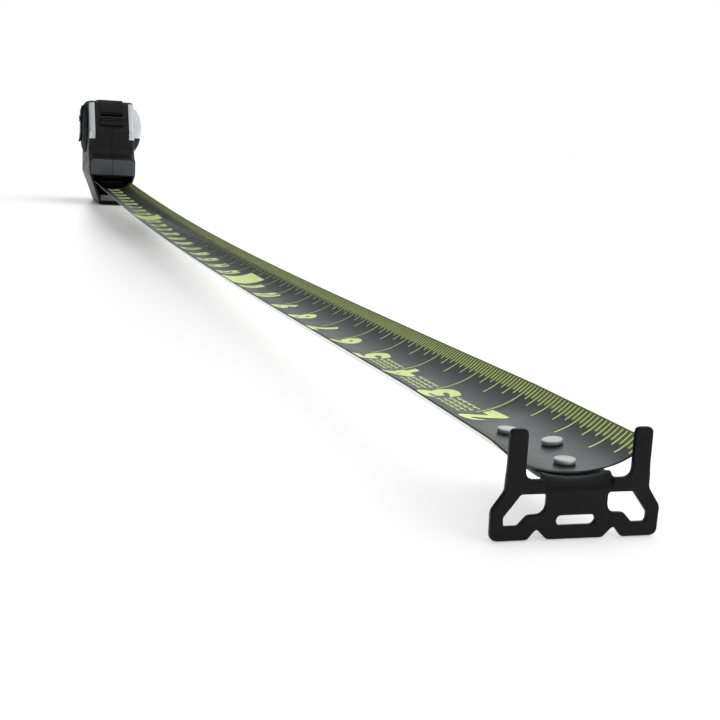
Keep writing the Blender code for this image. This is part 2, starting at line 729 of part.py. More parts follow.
def end_hook():
    hook = prism("end_hook", hook_outline(), HOOK_X - HOOK_THICKNESS, HOOK_X, UP_X)
    add(hook, hook_tang())
    for side in (-1, 1):
        tool = prism(f"end_hook_opening_{side + 1}", hook_opening(side), HOOK_X - 5 * MM, HOOK_X + 5 * MM, UP_X)
        cut(hook, tool)
    slot_half = 3.7 * MM - 0.9 * MM
    placed = [(y - slot_half, z + EDGE_Z - 13.05 * MM) for y, z in stadium(0.9 * MM, 2 * slot_half, 6)]
    cut(hook, prism("end_hook_slot", placed, HOOK_X - 5 * MM, HOOK_X + 5 * MM, UP_X))
    for k, (back, s) in enumerate(RIVETS):
        outline = stadium(RIVET_HOLE, HOOK_FLOAT, 6)
        frame = section_frame(back * MM, s * MM)
        cut(hook, prism(f"end_hook_rivet_slot_{k}", outline, -6 * MM, 1 * MM, frame))
    return hook


# Thumb lock -------------------------------------------------------------------------------------


def slope_axes():
    up = direction(SLOPE_FOOT, SHOULDER)
    return up, Vector((up.y, -up.x))


def on_slope(u, n):
    """(x, z) of a point u up the sloping face from its foot and n out from it."""
    up, out = slope_axes()
    place = Vector(SLOPE_FOOT) + up * u + out * n
    return place.x, place.y


def thumb_button():
    """The ridged button on the sloping face."""
    end = BUTTON_START + BUTTON_LENGTH
    crest, root = 3.4 * MM, 2.4 * MM
    ridges = 3
    pitch = (BUTTON_LENGTH - 2.4 * MM) / ridges
    outline = [(end, GAP), (BUTTON_START, GAP), (BUTTON_START, 1.9 * MM), (BUTTON_START + 0.8 * MM, root)]
    for k in range(ridges):
        start = BUTTON_START + 1.2 * MM + k * pitch
        outline += [(start, root), (start + 0.35 * pitch, crest), (start + 0.65 * pitch, crest)]
    outline += [(end - 0.8 * MM, root), (end, 1.9 * MM)]
    placed = [on_slope(u, n) for u, n in outline]
    return prism("thumb_button", placed, -BUTTON_HALF, BUTTON_HALF, UP_Y)


def lock_arm():
    """The arm behind the front wall: a stem through the slot at its top, a foot over the blade below."""
    back, front = 25.2 * MM, 27.0 * MM
    foot_low, foot_high, foot_front = PAD_TOP + GAP, 19.0 * MM, 33.9 * MM
    outline = [
        on_slope(10.5 * MM, -2.6 * MM),
        on_slope(10.5 * MM, -4.2 * MM),
        on_slope(2.0 * MM, -4.4 * MM),
        (back, 58.0 * MM),
        (back, foot_low),
        (foot_front, foot_low),
        (foot_front, foot_high),
        (front, foot_high + 1.6 * MM),
        (front, 60.0 * MM),
        on_slope(2.0 * MM, -2.6 * MM),
    ]
    arm = prism("lock_arm", outline, -ARM_HALF, ARM_HALF, UP_Y)
    low, high = STEM_START, STEM_START + STEM_LENGTH
    stem = [on_slope(u, n) for u, n in ((low, -4.0 * MM), (high, -4.0 * MM), (high, 0.0), (low, 0.0))]
    add(arm, prism("lock_arm_stem", stem, -STEM_HALF, STEM_HALF, UP_Y))
    return arm


def brake_pad():
    """A saddle shaped like the blade's section, with a groove along its middle for the rivet heads."""
    radius = BLADE_RADIUS - GAP - 0.1 * MM
    centre = MOUTH_VALLEY_Z + BLADE_RADIUS
    groove = MOUTH_VALLEY_Z + PAD_GROOVE
    outline = [(y, centre - math.sqrt(radius**2 - y * y)) for y in spread(-PAD_HALF, -PAD_GROOVE_HALF, 4)]
    outline += [(-PAD_GROOVE_HALF, groove), (PAD_GROOVE_HALF, groove)]
    outline += [(y, centre - math.sqrt(radius**2 - y * y)) for y in spread(PAD_GROOVE_HALF, PAD_HALF, 4)]
    outline += [(PAD_HALF, PAD_TOP), (-PAD_HALF, PAD_TOP)]
    return prism("brake_pad", outline, *PAD_X, UP_X)


# Assembly ---------------------------------------------------------------------------------------


def clear_scene():
    for obj in list(bpy.data.objects):
        bpy.data.objects.remove(obj, do_unlink=True)


def material(name):
    colour, roughness, metallic = MATERIALS[name]
    made = bpy.data.materials.get(name) or bpy.data.materials.new(name)
    made.use_nodes = True
    shader = made.node_tree.nodes["Principled BSDF"]
    shader.inputs["Base Color"].default_value = (*colour, 1.0)
    shader.inputs["Roughness"].default_value = roughness
    shader.inputs["Metallic"].default_value = metallic
    return made


def group(name, place, members):
    """Parents pieces to an empty at their joint; members maps a material to its pieces."""
    empty = bpy.data.objects.new(name, None)
    bpy.context.scene.collection.objects.link(empty)
    empty.location = place
    bpy.context.view_layer.update()
    for slot, pieces in members:
        for piece in pieces:
            piece.data.materials.append(material(slot))
            piece.parent = empty
            piece.matrix_parent_inverse = empty.matrix_world.inverted()


def build_case():
    screws = [case_screw(k, x * MM, z * MM) for k, (x, z) in enumerate(CASE_SCREWS)]
    grip_left, grip_right, badge = side_pads()
    members = (
        ("black_shell", [case_shell("case_shell_left", -1), case_shell("case_shell_right", 1)]),
        ("rubber", [grip_left, grip_right, rubber_band()]),
        ("silver_trim", [badge, trim_strip("trim_strip_left", -1), trim_strip("trim_strip_right", 1)]),
        ("black_steel", [belt_clip(), clip_screw()]),
        ("steel", [*screws, mouth_wear_strip(), centre_post()]),
        ("spring_steel", [power_spring()]),
        ("blade_coating", [blade_extended()]),
    )
    group("case", (0.0, 0.0, 0.0), members)


def build_spool():
    members = (
        ("acetal", [spool_drum(), flange("spool_flange_left", -1), flange("spool_flange_right", 1)]),
        ("blade_coating", [blade_coil()]),
    )
    group("spool", (SPOOL_X, 0.0, SPOOL_Z), members)


def build_lock():
    x, z = on_slope(BUTTON_START, 0.0)
    members = (("lock_plastic", [thumb_button(), lock_arm()]), ("rubber", [brake_pad()]))
    group("lock", (x, 0.0, z), members)


def build_blade_end():
    rivets = [hook_rivet(k, back, s) for k, (back, s) in enumerate(RIVETS)]
    group("blade_end", (TIP_X, 0.0, EDGE_Z), (("blade_coating", [blade_tip()]), ("steel", rivets)))
    group("hook", (HOOK_X, 0.0, EDGE_Z), (("black_steel", [end_hook()]),))


clear_scene()
build_case()
build_spool()
build_lock()
build_blade_end()
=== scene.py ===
"""Looks of the tape measure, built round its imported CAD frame. Metres, +Z up, +X towards the hook."""

import json
import math

import bmesh
import bpy
from mathutils import Matrix, Vector

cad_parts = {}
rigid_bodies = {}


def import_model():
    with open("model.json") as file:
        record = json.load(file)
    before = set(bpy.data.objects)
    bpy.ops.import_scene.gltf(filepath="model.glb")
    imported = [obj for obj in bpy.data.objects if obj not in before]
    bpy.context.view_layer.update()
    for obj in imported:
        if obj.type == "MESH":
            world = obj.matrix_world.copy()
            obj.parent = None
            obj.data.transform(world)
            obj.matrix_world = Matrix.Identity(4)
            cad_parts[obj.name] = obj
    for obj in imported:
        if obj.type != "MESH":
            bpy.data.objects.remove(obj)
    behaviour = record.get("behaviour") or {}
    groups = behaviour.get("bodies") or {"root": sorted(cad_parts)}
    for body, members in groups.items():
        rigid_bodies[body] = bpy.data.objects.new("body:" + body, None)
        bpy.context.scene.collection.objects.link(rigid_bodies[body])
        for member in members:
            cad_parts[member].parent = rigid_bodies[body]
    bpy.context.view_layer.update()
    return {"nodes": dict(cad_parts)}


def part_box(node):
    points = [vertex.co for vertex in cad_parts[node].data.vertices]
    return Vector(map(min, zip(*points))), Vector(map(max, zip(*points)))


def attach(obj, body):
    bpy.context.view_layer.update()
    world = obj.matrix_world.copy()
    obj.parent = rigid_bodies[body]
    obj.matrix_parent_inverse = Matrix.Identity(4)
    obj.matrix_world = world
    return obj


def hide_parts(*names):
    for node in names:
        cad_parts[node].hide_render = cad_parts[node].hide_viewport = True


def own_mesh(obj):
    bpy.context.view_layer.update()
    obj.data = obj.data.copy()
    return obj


MM = 0.001

# Blade, as in the CAD model.
BLADE_WIDTH = 31.75 * MM
BLADE_RADIUS = 19.6 * MM
BLADE_THICKNESS = 0.3 * MM
BLADE_CORNER = 4.0 * MM  # radius of the end's corners
BLADE_SAG = 5.4 * MM
NOSE_X = 43.0 * MM
HOOK_X = 893.0 * MM
TIP_X = HOOK_X - 50.0 * MM
TIP_LIFT = 0.8 * MM  # how far the tang presses the tip's valley up
LIFT_HALF = 13.5 * MM  # half the width that it presses up, along the section
BLADE_END_GAP = 3.0 * MM  # from the blade's end to the hook's face
EDGE_Z = 16.3 * MM  # height of the blade's edges at the tip
MOUTH_EDGE_Z = 19.0 * MM
COIL_LOW = 25.7 * MM  # underside of the coil
COIL_GAP = 0.4 * MM
SPOOL_X = -8.0 * MM
ROUND_X = 25.0 * MM  # where the blade, flat on the coil, has taken its full curve
STRIP_END = TIP_X - 0.2 * MM
BLADE_END = HOOK_X - BLADE_END_GAP
TIP_CORNER_X = BLADE_END - BLADE_CORNER
CROWN = BLADE_RADIUS * (1 - math.cos(BLADE_WIDTH / 2 / BLADE_RADIUS))
VALLEY_Z = EDGE_Z - CROWN
MOUTH_VALLEY_Z = MOUTH_EDGE_Z - CROWN

# Hook, rivets and screws.
RIVETS = ((7.9, 0.9), (20.3, 4.3), (30.4, -0.4))  # mm back from the hook's face, mm along the section
BEND_STEP = (0.02 * MM, 0.08 * MM)  # range of the bend's small step behind the hook's face
COAT_GRAIN = 0.16 * MM
RECESS_DEPTH = 0.7 * MM
RECESS_TURN = 20  # degrees

# Nose.
PANEL_LOW = 24.3 * MM  # lower edge of the lighter panel
NOSE_FRONT = NOSE_X - 0.3 * MM  # faces beyond this are the front

# Print. Distances across the blade are along its section from the graduated edge.
INCH = 25.4 * MM
ZERO_X = 892.25 * MM
LINE_WIDTH = 0.46 * MM
PRINT_HEIGHT = 0.04 * MM
TICK_START = 0.35 * MM
TICKS = ((16, 3.3), (8, 4.2), (4, 5.5), (2, 7.4), (1, 14.0))  # (divisions of an inch, mm of length)
FIRST_INCH_LINE = 8.3 * MM  # stops short of the rivets
NUMERAL_START = 10.9 * MM
NUMERAL_HEIGHT = 9.3 * MM
NUMERAL_WIDTH = 8.8 * MM
NUMERAL_BOLDNESS = 0.055  # outline growth of the numerals, for a size of one
NUMERAL_LEAD = 0.39  # inches from the hook's end of a single numeral to its inch line
PAIR_WIDTH = 6.6 * MM  # width of each numeral of a pair
DIGIT_GAP = 0.9 * MM
NARROW_ONE = 0.45  # width of a 1 against the other numerals
LAST_INCH = 33
FOOT_BLOCK_START = 8.0 * MM
FOOT_BLOCK_END = 25.0 * MM
FOOT_BLOCK_LEAD = 0.44  # inches of the one-inch block on the case's side of its line
DASH_INCHES = (2, 3, 4)
DASH_ROWS = 4
DASHES = 9
DASH_START = 12.6 * MM  # first row, from the graduated edge
DASH_LEAD = 1.6 * MM  # first dash, from its inch line
DASH_PITCH = 1.5 * MM  # of the dashes and of their rows
DASH_LENGTH = 1.0 * MM
DASH_HEIGHTS = (0.5 * MM, 0.85 * MM)
OLIVE_EDGE = (11.3 * MM, 12.2 * MM)  # distance from the middle over which the olive cast sets in

# Camera: its place, and where its right, down and forward point.
CAMERA_PLACE = (1.07625, -0.09542, 0.06506)
CAMERA_RIGHT = Vector((0.28050, 0.95831, 0.05438))
CAMERA_DOWN = Vector((0.18421, 0.00186, -0.98289))
CAMERA_FORWARD = Vector((-0.94202, 0.28571, -0.17601))
CAMERA_LENS = 62.138

# Light of the surroundings, low down and overhead, and what the +Y side adds.
WALL_LIGHT = 0.10
CEILING_LIGHT = 0.60
SIDE_LIGHT = 0.62
CEILING_RISE = (0.15, 0.85)  # heights, on a unit sphere, over which wall turns to ceiling
SIDE_RISE = (0.0, 0.4)  # the same towards +Y

# The low light behind the case.
LOW_LIGHT = 0.37  # light each low lamp lays on the floor
LOW_LIGHT_HEIGHTS = (6.0, 8.0, 10.5, 14.0)  # degrees above the floor
LOW_LIGHT_SPREAD = 5.0  # degrees
LOW_LIGHT_TURN = -0.045  # its drift along Y for each unit along X
SHADING_PIECES = ("case_", "side_", "rubber_", "trim_", "belt_", "thumb_")
FLOOR_SIZE = 6.0
FLOOR_DROP = 0.2 * MM

# CAD nodes that get rounded edges: node, look, body, slot, mm of rounding.
REFINED = (
    ("side_grip_left", "rubber", "case", "rubber", 0.3),
    ("side_grip_right", "rubber", "case", "rubber", 0.2),
    ("side_badge_right", "silver_trim", "case", "silver_trim", 0.2),
    ("rubber_band", "rubber", "case", "rubber", 0.35),
    ("trim_strip_left", "silver_trim", "case", "silver_trim", 0.25),
    ("trim_strip_right", "silver_trim", "case", "silver_trim", 0.25),
    ("belt_clip", "black_steel", "case", "black_steel", 0.2),
    # Painted shade: the wear strip takes a darker copy of the steel look.
    ("mouth_wear_strip", "shaded_lip_steel", "case", "steel", 0.1),
    ("thumb_button", "lock_plastic", "lock", "lock_plastic", 0.25),
    ("lock_arm", "lock_plastic", "lock", "lock_plastic", 0.2),
    ("brake_pad", "rubber", "lock", "rubber", 0.1),
)

# CAD nodes inside the case that stay as they are, with their looks.
KEPT = {
    "centre_post": "steel",
    "power_spring": "spring_steel",
    "spool_drum": "acetal",
    "spool_flange_left": "acetal",
    "spool_flange_right": "acetal",
    "blade_coil": "blade_coating",
}

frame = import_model()
nodes = frame["nodes"]


# Materials --------------------------------------------------------------------------------------


def shader_of(made):
    return made.node_tree.nodes["Principled BSDF"]


def new_material(name, colour, roughness, metallic=0.0, coat=0.0, specular=0.5):
    """A material whose Principled shader is ready for its detail."""
    made = bpy.data.materials.new(name)
    made.use_nodes = True
    shader = shader_of(made)
    shader.inputs["Base Color"].default_value = (*colour, 1.0)
    shader.inputs["Roughness"].default_value = roughness
    shader.inputs["Metallic"].default_value = metallic
    shader.inputs["Coat Weight"].default_value = coat
    shader.inputs["Coat Roughness"].default_value = 0.2
    shader.inputs["Specular IOR Level"].default_value = specular
    return made


def add_node(made, kind, **values):
    """A shader node with its inputs set by name, _ standing for a space."""
    node = made.node_tree.nodes.new(kind)
    for key, value in values.items():
        node.inputs[key.replace("_", " ")].default_value = value
    return node


def link(made, start, end):
    made.node_tree.links.new(start, end)


def place_coordinates(made, stretch=(1, 1, 1)):
    """Object coordinates, in metres, stretched."""
    source = add_node(made, "ShaderNodeTexCoord")
    mapping = add_node(made, "ShaderNodeMapping")
    mapping.inputs["Scale"].default_value = stretch
    link(made, source.outputs["Object"], mapping.inputs["Vector"])
    return mapping.outputs["Vector"]


def noise(made, where, scale, detail=3.0, roughness=0.55):
    """Noise from 0 to 1 with features about 1/scale metres across."""
    node = add_node(made, "ShaderNodeTexNoise", Scale=scale, Detail=detail, Roughness=roughness)
    link(made, where, node.inputs["Vector"])
    return node.outputs["Fac"]


def map_range(tree, low, high, start, end):
    """A node that maps start to end on to low to high."""
    node = tree.nodes.new("ShaderNodeMapRange")
    node.inputs["From Min"].default_value = start
    node.inputs["From Max"].default_value = end
    node.inputs["To Min"].default_value = low
    node.inputs["To Max"].default_value = high
    return node


def spread_values(made, source, low, high, start=0.3, end=0.7):
    """Maps a noise to the range low to high."""
    node = map_range(made.node_tree, low, high, start, end)
    link(made, source, node.inputs["Value"])
    return node.outputs["Result"]


def mix_colours(made, share, first, second):
    """Mixes two colours; each is a tuple or a socket."""
    node = made.node_tree.nodes.new("ShaderNodeMix")
    node.data_type = "RGBA"
    link(made, share, node.inputs[0])
    for socket, value in ((node.inputs[6], first), (node.inputs[7], second)):
        if isinstance(value, tuple):
            socket.default_value = (*value, 1.0)
        else:
            link(made, value, socket)
    return node.outputs[2]


def base_colour(made, socket):
    link(made, socket, shader_of(made).inputs["Base Color"])


def rough(made, where, scale, low, high):
    """Roughness that wanders between low and high."""
    value = spread_values(made, noise(made, where, scale), low, high)
    link(made, value, shader_of(made).inputs["Roughness"])


def bump(made, height, strength, distance):
    """Fine relief from a height between 0 and 1, distance metres deep."""
    node = add_node(made, "ShaderNodeBump", Strength=strength, Distance=distance)
    link(made, height, node.inputs["Height"])
    link(made, node.outputs["Normal"], shader_of(made).inputs["Normal"])


def moulded(name, colour, light, roughness, grain_scale, grain, specular=0.22):
    """A moulded plastic with a spark-eroded grain and slightly uneven gloss."""
    made = new_material(name, colour, roughness, specular=specular)
    where = place_coordinates(made)
    share = spread_values(made, noise(made, where, 55, 4.0), 0.0, 1.0, 0.35, 0.65)
    base_colour(made, mix_colours(made, share, colour, light))
    rough(made, where, 120, roughness - 0.06, roughness + 0.08)
    bump(made, noise(made, where, grain_scale, 2.0), 0.35, grain)
    return made


def rubber_material():
    """A soft black overmould: fine pebbled grain and dusty lighter patches."""
    made = new_material("rubber_look", (0.012, 0.012, 0.013), 0.72, specular=0.2)
    where = place_coordinates(made)
    share = spread_values(made, noise(made, where, 70, 5.0), 0.0, 1.0, 0.4, 0.75)
    colour = mix_colours(made, share, (0.010, 0.010, 0.011), (0.021, 0.021, 0.021))
    base_colour(made, colour)
    pebbles = add_node(made, "ShaderNodeTexVoronoi", Scale=1600.0)
    link(made, where, pebbles.inputs["Vector"])
    bump(made, pebbles.outputs["Distance"], 0.4, 0.00012)
    rough(made, where, 150, 0.64, 0.8)
    return made


def brushed(name, colour, dark, roughness, stretch, metallic=1.0):
    """Metal with fine brushing along one axis and a little tarnish."""
    made = new_material(name, colour, roughness, metallic)
    lines = noise(made, place_coordinates(made, stretch), 60, 4.0)
    patches = noise(made, place_coordinates(made), 90, 4.0)
    share = spread_values(made, patches, 0.0, 1.0, 0.45, 0.75)
    base_colour(made, mix_colours(made, share, colour, dark))
    gloss = spread_values(made, lines, roughness - 0.07, roughness + 0.1)
    link(made, gloss, shader_of(made).inputs["Roughness"])
    bump(made, lines, 0.15, 0.00004)
    return made


def silver_paint():
    """Satin silver coating on plastic, with fine metallic flake."""
    made = new_material("silver_look", (0.66, 0.68, 0.69), 0.36, 0.35, coat=0.2)
    where = place_coordinates(made)
    share = spread_values(made, noise(made, where, 2600, 2.0), 0.0, 1.0, 0.3, 0.7)
    colour = mix_colours(made, share, (0.58, 0.60, 0.61), (0.76, 0.78, 0.79))
    base_colour(made, colour)
    rough(made, where, 140, 0.27, 0.4)
    bump(made, noise(made, where, 1800, 2.0), 0.08, 0.00003)
    return made


def blade_material():
    """Satin charcoal coating with an olive cast under the ticks along the graduated edge."""
    made = new_material("blade_look", (0.010, 0.013, 0.013), 0.3, coat=0.45, specular=0.5)
    shader_of(made).inputs["Coat Tint"].default_value = (0.90, 0.97, 1.0, 1.0)
    where = place_coordinates(made)
    streaks = noise(made, place_coordinates(made, (0.02, 1.0, 1.0)), 420, 3.0)
    share = spread_values(made, streaks, 0.0, 1.0)
    charcoal = mix_colours(made, share, (0.008, 0.011, 0.011), (0.013, 0.016, 0.016))
    split = add_node(made, "ShaderNodeSeparateXYZ")
    link(made, where, split.inputs["Vector"])
    edge = spread_values(made, split.outputs["Y"], 0.0, 1.0, *OLIVE_EDGE)
    base_colour(made, mix_colours(made, edge, charcoal, (0.074, 0.112, 0.006)))
    rough(made, where, 160, 0.27, 0.38)
    bump(made, streaks, 0.05, 0.00003)
    return made


def underside_material():
    """The pale lacquer on the back of the blade."""
    made = new_material("blade_back_look", (0.93, 0.93, 0.92), 0.45)
    where = place_coordinates(made, (0.05, 1.0, 1.0))
    share = spread_values(made, noise(made, where, 300, 3.0), 0.0, 1.0)
    colour = mix_colours(made, share, (0.91, 0.91, 0.90), (0.95, 0.95, 0.94))
    base_colour(made, colour)
    rough(made, where, 200, 0.4, 0.55)
    bump(made, noise(made, where, 260, 2.0), 0.05, 0.00003)
    return made


def print_material():
    """Pale lime ink, a little uneven."""
    made = new_material("print_look", (0.60, 0.72, 0.28), 0.5, specular=0.3)
    where = place_coordinates(made)
    share = spread_values(made, noise(made, where, 900, 3.0), 0.0, 1.0)
    colour = mix_colours(made, share, (0.57, 0.69, 0.25), (0.68, 0.79, 0.36))
    base_colour(made, colour)
    rough(made, where, 600, 0.42, 0.6)
    bump(made, noise(made, where, 2400, 2.0), 0.1, 0.00002)
    return made


def black_steel_material():
    """Semi-gloss black coating on steel, with faint orange peel."""
    made = new_material("black_steel_look", (0.004, 0.004, 0.005), 0.34, specular=0.16)
    where = place_coordinates(made)
    share = spread_values(made, noise(made, where, 160, 5.0), 0.0, 1.0, 0.5, 0.8)
    colour = mix_colours(made, share, (0.003, 0.003, 0.004), (0.009, 0.009, 0.010))
    base_colour(made, colour)
    rough(made, where, 420, 0.28, 0.42)
    bump(made, noise(made, where, 1100, 3.0), 0.12, 0.00005)
    return made


LOOKS = {
    "black_shell": moulded("shell_look", (0.009, 0.009, 0.010), (0.015, 0.015, 0.016), 0.42, 2400, 0.00006),
    "nose_panel": moulded("nose_look", (0.086, 0.093, 0.096), (0.104, 0.111, 0.114), 0.42, 2400, 0.00006),
    "rubber": rubber_material(),
    "silver_trim": silver_paint(),
    "lock_plastic": moulded("lock_look", (0.009, 0.009, 0.010), (0.016, 0.016, 0.017), 0.44, 2800, 0.00005),
    "acetal": moulded("acetal_look", (0.68, 0.68, 0.64), (0.74, 0.74, 0.71), 0.45, 1500, 0.00004),
    "steel": brushed("steel_look", (0.50, 0.51, 0.52), (0.36, 0.37, 0.38), 0.34, (1, 18, 1)),
    "spring_steel": brushed("spring_look", (0.30, 0.32, 0.36), (0.18, 0.19, 0.22), 0.36, (1, 14, 1)),
    "rivet": brushed("rivet_look", (0.66, 0.67, 0.65), (0.52, 0.53, 0.51), 0.4, (3, 3, 3), 0.6),
    # Painted shade: a darker copy of the steel look, for the wear strip set down in the mouth's lip.
    "shaded_lip_steel": brushed("lip_look", (0.17, 0.17, 0.18), (0.10, 0.10, 0.11), 0.3, (1, 18, 1)),
    "black_steel": black_steel_material(),
    "blade_coating": blade_material(),
    "blade_back": underside_material(),
    "print": print_material(),
}


# Mesh helpers -----------------------------------------------------------------------------------


def smooth(t):
    """Eases from 0 to 1, level at both ends."""
    t = min(1.0, max(0.0, t))
    return t * t * (3 - 2 * t)


def spread(low, high, count):
    """count values evenly from low to high."""
    return [low + (high - low) * k / (count - 1) for k in range(count)]


def add_object(name, data):
    """An object in the scene."""
    obj = bpy.data.objects.new(name, data)
    bpy.context.scene.collection.objects.link(obj)
    return obj


def mesh_of(bm, name):
    """Turns a bmesh into a mesh."""
    mesh = bpy.data.meshes.new(name)
    bm.to_mesh(mesh)
    bm.free()
    return mesh


def evaluated_mesh(obj):
    """A copy of an object's mesh as its modifiers or its text leave it."""
    bpy.context.view_layer.update()
    evaluated = obj.evaluated_get(bpy.context.evaluated_depsgraph_get())
    return bpy.data.meshes.new_from_object(evaluated)


def shade(obj, degrees):
    """Smooth shading, broken at edges sharper than degrees."""
    obj.data.shade_smooth()
    obj.data.set_sharp_from_angle(angle=math.radians(degrees))


def new_object(name, bm, look, body):
    """Finishes a mesh as a piece that rides on a body."""
    obj = add_object(name, mesh_of(bm, name))
    obj.data.materials.append(LOOKS[look])
    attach(obj, body)
    return obj


def bevel(obj, width, segments=3, angle=28):
    """Rounds every edge sharper than angle degrees."""
    modifier = obj.modifiers.new("edges", "BEVEL")
    modifier.width = width
    modifier.segments = segments
    modifier.limit_method = "ANGLE"
    modifier.angle_limit = math.radians(angle)
    modifier.harden_normals = True
    modifier.use_clamp_overlap = True


def refined(node, look, body, width, segments=3):
    """A copy of a CAD node whose flat facets are whole and whose edges are rounded."""
    bm = bmesh.new()
    bm.from_mesh(nodes[node].data)
    bmesh.ops.remove_doubles(bm, verts=bm.verts, dist=1e-7)
    bmesh.ops.dissolve_limit(bm, angle_limit=math.radians(0.6), verts=bm.verts, edges=bm.edges)
    bmesh.ops.recalc_face_normals(bm, faces=bm.faces)
    obj = new_object(f"{node}_skin", bm, look, body)
    shade(obj, 32)
    bevel(obj, width, segments)
    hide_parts(node)
    return obj


def keep_node(node, look):
    """A CAD node that stays as it is, in its own look."""
    nodes[node].data.materials.clear()
    nodes[node].data.materials.append(LOOKS[look])


def lathe(bm, levels, place, steps=48):
    """Adds a turned solid from (radius, height) levels; the first and last close on the axis."""
    rings = []
    for radius, height in levels:
        ring = []
        for k in range(steps):
            a = 2 * math.pi * k / steps
            point = Vector((radius * math.cos(a), radius * math.sin(a), height))
            ring.append(bm.verts.new(place @ point))
        rings.append(ring)
    for a, b in zip(rings, rings[1:]):
        for k in range(steps):
            m = (k + 1) % steps
            bm.faces.new((a[k], a[m], b[m], b[k]))
    bm.faces.new(rings[0][::-1])
    bm.faces.new(rings[-1])


# Blade ------------------------------------------------------------------------------------------


def valley_height(x):
    """Height of the blade's valley between the mouth and the tip."""
    t = (x - NOSE_X) / (STRIP_END - NOSE_X)
    if t >= 1.0:
        return VALLEY_Z
    return MOUTH_VALLEY_Z + (VALLEY_Z - MOUTH_VALLEY_Z) * t - BLADE_SAG * math.sin(math.pi * t)


def tip_lift(x):
    """How far the tip's valley is flattened upwards, over the first third of the tip."""
    return TIP_LIFT * smooth((x - TIP_X) / (0.3 * (TIP_CORNER_X - TIP_X)))


def blade_point(x, s, depth, roundness=1.0, valley=None):
    """A point on the blade at x, s along its section and depth below its upper face."""
    if valley is None:
        valley = valley_height(x)
    if roundness < 0.01:
        return Vector((x, s, valley - depth))
    radius = BLADE_RADIUS / roundness
    a = s / radius
    lift = tip_lift(x) * max(0.0, 1 - (s / LIFT_HALF) ** 2) ** 2 if x > TIP_X else 0.0
    out = radius + depth
    return Vector((x, out * math.sin(a), valley + radius - out * math.cos(a) + lift))


def blade_solid(bm, rows, back_slot=1):
    """A closed strip from rows of (upper, lower) points; its lower face gets the second material."""
    upper = [[bm.verts.new(p[0]) for p in row] for row in rows]
    lower = [[bm.verts.new(p[1]) for p in row] for row in rows]
    count, columns = len(rows), len(rows[0])
    for i in range(count - 1):
        for j in range(columns - 1):
            bm.faces.new((upper[i][j], upper[i + 1][j], upper[i + 1][j + 1], upper[i][j + 1]))
            face = bm.faces.new((lower[i][j], lower[i][j + 1], lower[i + 1][j + 1], lower[i + 1][j]))
            face.material_index = back_slot
    for i in range(count - 1):
        bm.faces.new((upper[i][0], lower[i][0], lower[i + 1][0], upper[i + 1][0]))
        bm.faces.new((upper[i][-1], upper[i + 1][-1], lower[i + 1][-1], lower[i][-1]))
    for j in range(columns - 1):
        bm.faces.new((upper[0][j], upper[0][j + 1], lower[0][j + 1], lower[0][j]))
        bm.faces.new((upper[-1][j], lower[-1][j], lower[-1][j + 1], upper[-1][j + 1]))
    bmesh.ops.recalc_face_normals(bm, faces=bm.faces)


def extended_blade():
    """The drawn-out strip, from the coil to the tip."""
    half = BLADE_WIDTH / 2
    start_z = COIL_LOW - COIL_GAP
    across = spread(-half, half, 37)
    faces = (0.0, BLADE_THICKNESS)
    rows = []
    for x in spread(SPOOL_X, ROUND_X, 18):
        t = smooth((x - SPOOL_X) / (ROUND_X - SPOOL_X))
        valley = start_z + (MOUTH_VALLEY_Z - start_z) * t
        rows.append([[blade_point(x, s, d, t, valley) for d in faces] for s in across])
    for x in spread(NOSE_X, STRIP_END, 110):
        rows.append([[blade_point(x, s, d) for d in faces] for s in across])
    bm = bmesh.new()
    blade_solid(bm, rows)
    blade = new_object("blade_strip", bm, "blade_coating", "case")
    blade.data.materials.append(LOOKS["blade_back"])
    shade(blade, 50)
    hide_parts("blade_extended")
    return blade


def tip_blade():
    """The straight end, with its corners rounded."""
    half = BLADE_WIDTH / 2
    across = spread(-half, half, 61)
    rows = []
    for share in spread(0.0, 1.0, 26):
        row = []
        for s in across:
            out = max(0.0, abs(s) - (half - BLADE_CORNER))
            end = TIP_CORNER_X + math.sqrt(BLADE_CORNER**2 - out**2)
            x = TIP_X + (end - TIP_X) * share
            row.append([blade_point(x, s, d, 1.0, VALLEY_Z) for d in (0.0, BLADE_THICKNESS)])
        rows.append(row)
    bm = bmesh.new()
    blade_solid(bm, rows)
    tip = new_object("blade_tip_strip", bm, "blade_coating", "blade_end")
    tip.data.materials.append(LOOKS["blade_back"])
    shade(tip, 50)
    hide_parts("blade_tip")
    return tip


# Print ------------------------------------------------------------------------------------------


def printed(x, v):
    """The point just above the blade at x and at v along its section from the graduated edge."""
    valley = VALLEY_Z if x > STRIP_END else None
    return blade_point(x, BLADE_WIDTH / 2 - v, -PRINT_HEIGHT, 1.0, valley)


def print_patch(bm, x0, x1, v0, v1):
    """A rectangle of ink, split finely enough to follow the curve of the section."""
    count = max(1, math.ceil((v1 - v0) / (1.0 * MM)))
    rows = [[bm.verts.new(printed(x, v)) for x in (x0, x1)] for v in spread(v0, v1, count + 1)]
    for a, b in zip(rows, rows[1:]):
        bm.faces.new((a[1], a[0], b[0], b[1]))


def glyph_points(text):
    """Flat triangulated mesh of a numeral in Blender's own font, scaled to a unit height and width."""
    curve = bpy.data.curves.new("numeral", "FONT")
    curve.body = text
    curve.size = 1.0
    curve.offset = NUMERAL_BOLDNESS
    curve.resolution_u = 4
    obj = add_object("numeral", curve)
    mesh = evaluated_mesh(obj)
    xs = [v.co.x for v in mesh.vertices]
    ys = [v.co.y for v in mesh.vertices]
    size = (max(xs) - min(xs), max(ys) - min(ys))
    mesh.transform(Matrix.Translation((-min(xs), -min(ys), 0)))
    mesh.transform(Matrix.Diagonal((1 / size[0], 1 / size[1], 1, 1)))
    bpy.data.objects.remove(obj)
    bpy.data.curves.remove(curve)
    return mesh


GLYPHS = {digit: glyph_points(digit) for digit in "0123456789"}


